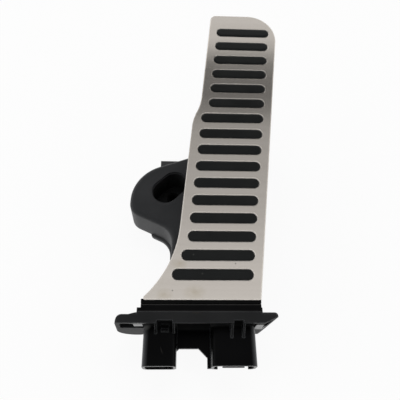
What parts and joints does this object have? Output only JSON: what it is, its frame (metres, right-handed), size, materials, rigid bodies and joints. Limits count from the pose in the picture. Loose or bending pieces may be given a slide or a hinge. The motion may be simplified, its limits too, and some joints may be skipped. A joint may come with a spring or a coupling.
{
  "type": "accelerator pedal",
  "caption": "Floor-hinged accelerator pedal with a slotted steel tread over rubber ribs, a bolt lobe, spigot legs and a rocker and sensor housing behind.",
  "frame": {"origin": "fixing bolt's axis on the mounting face", "axes": "+Z off the mounting face towards the driver, +Y up the pedal from its heel, +X to the driver's right"},
  "size_m": [0.1128, 0.2527, 0.0949],
  "materials": {
    "tread_steel": "fine brushed stainless sheet with eased cut edges",
    "tread_rubber": "matt black rubber",
    "pedal_plastic": "fine grained black glass-filled plastic",
    "housing_plastic": "spark-eroded black plastic",
    "cover_plastic": "satin black plastic",
    "seal_rubber": "soft black rubber",
    "zinc_steel": "zinc plated steel",
    "black_steel": "black phosphated steel",
    "spring_steel": "oil tempered spring wire",
    "link_plastic": "natural acetal plastic",
    "bearing_plastic": "bearing bronze coloured plastic",
    "board_laminate": "green solder resist",
    "chip_resin": "moulded black resin",
    "pin_metal": "tinned brass",
    "lamina_metal": "rolled bright sheet"
  },
  "bodies": {
    "housing": {"base_housing": "housing_plastic", "hinge_strip": "pedal_plastic", "rear_cover": "cover_plastic", "cover_gasket": "seal_rubber", "cover_screws": "zinc_steel", "distance_sleeve": "black_steel", "left_bush": "bearing_plastic", "right_bush": "bearing_plastic", "outer_return_spring": "spring_steel", "inner_return_spring": "spring_steel", "circuit_board": "board_laminate", "sensor_chips": "chip_resin", "connector_pins": "pin_metal", "pedal_stop": "seal_rubber", "rest_stop": "seal_rubber"},
    "pedal": {"pedal_plate": "pedal_plastic", "tread_rubber": "tread_rubber", "steel_facing": "tread_steel", "ball_cup": "link_plastic"},
    "rod": {"push_rod": "link_plastic"},
    "lever": {"drive_lever": "link_plastic", "pivot_shaft": "zinc_steel", "spring_seat": "bearing_plastic"},
    "target": {"target_carrier": "chip_resin", "metal_lamina": "lamina_metal"}
  },
  "joints": [
    {"name": "pedal_hinge", "type": "hinge", "parent": "housing", "child": "pedal", "pos_m": [0.02, -0.099, 0.044], "axis": [-1, 0, 0], "range_deg": [0, 12.5], "stiffness_Nm_per_rad": 18, "springref_deg": -9.57},
    {"name": "rod_swing", "type": "hinge", "parent": "pedal", "child": "rod", "pos_m": [0.034, -0.007, 0.0565], "axis": [1, 0, 0], "range_deg": [0, 17.7]},
    {"name": "lever_pivot", "type": "hinge", "parent": "housing", "child": "lever", "pos_m": [0.034, -0.049, 0.0185], "axis": [-1, 0, 0], "range_deg": [0, 18.1], "deforming": ["outer_return_spring", "inner_return_spring"]},
    {"name": "target_slide", "type": "slide", "parent": "housing", "child": "target", "axis": [0, -1, 0], "range_m": [0, 0.0032]}
  ],
  "couplings": [
    {"joint": "rod_swing", "follows": "pedal_hinge", "ratio": 1.4108},
    {"joint": "lever_pivot", "follows": "pedal_hinge", "ratio": 1.4407},
    {"joint": "target_slide", "follows": "pedal_hinge", "m_per_rad": 0.014347}
  ]
}
